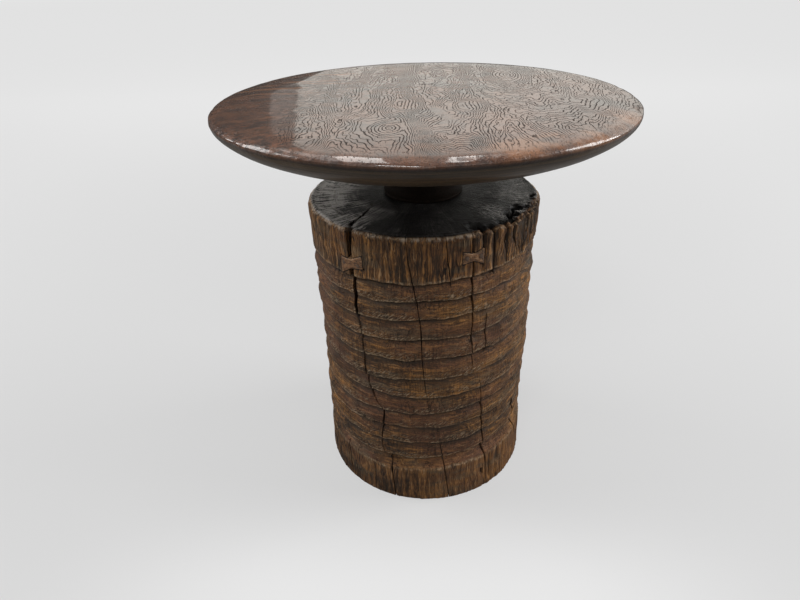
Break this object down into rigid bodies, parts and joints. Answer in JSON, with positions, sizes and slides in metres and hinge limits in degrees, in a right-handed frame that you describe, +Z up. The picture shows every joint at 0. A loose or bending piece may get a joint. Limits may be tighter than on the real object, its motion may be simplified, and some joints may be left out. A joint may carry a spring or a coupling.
{
  "type": "drum side table",
  "caption": "Round side table: a thick turned wooden top on a short neck, standing on a carved, banded solid log base with drying splits held by butterfly keys.",
  "frame": {"origin": "centre of the log's flat base, on the floor", "axes": "+Z up along the turning axis, show side with the two butterfly keys facing -Y, +X to the right of that side"},
  "size_m": [0.556, 0.556, 0.6],
  "materials": {
    "top_wood": "dark hardwood with swirling figure under a gloss lacquer",
    "neck_wood": "dark stained, satin",
    "dowel_wood": "plain beech, unfinished",
    "log_wood": "weathered brown carved side, blackened end grain, low sheen",
    "key_wood": "worn, lighter than the log, low sheen",
    "peg_wood": "dark end grain"
  },
  "bodies": {
    "root": {"table_top": "top_wood", "neck": "neck_wood", "centre_dowel": "dowel_wood", "drum_log": "log_wood", "butterfly_key_left": "key_wood", "butterfly_key_right": "key_wood", "key_peg_left_a": "peg_wood", "key_peg_left_b": "peg_wood", "key_peg_right_a": "peg_wood", "key_peg_right_b": "peg_wood"}
  },
  "joints": []
}
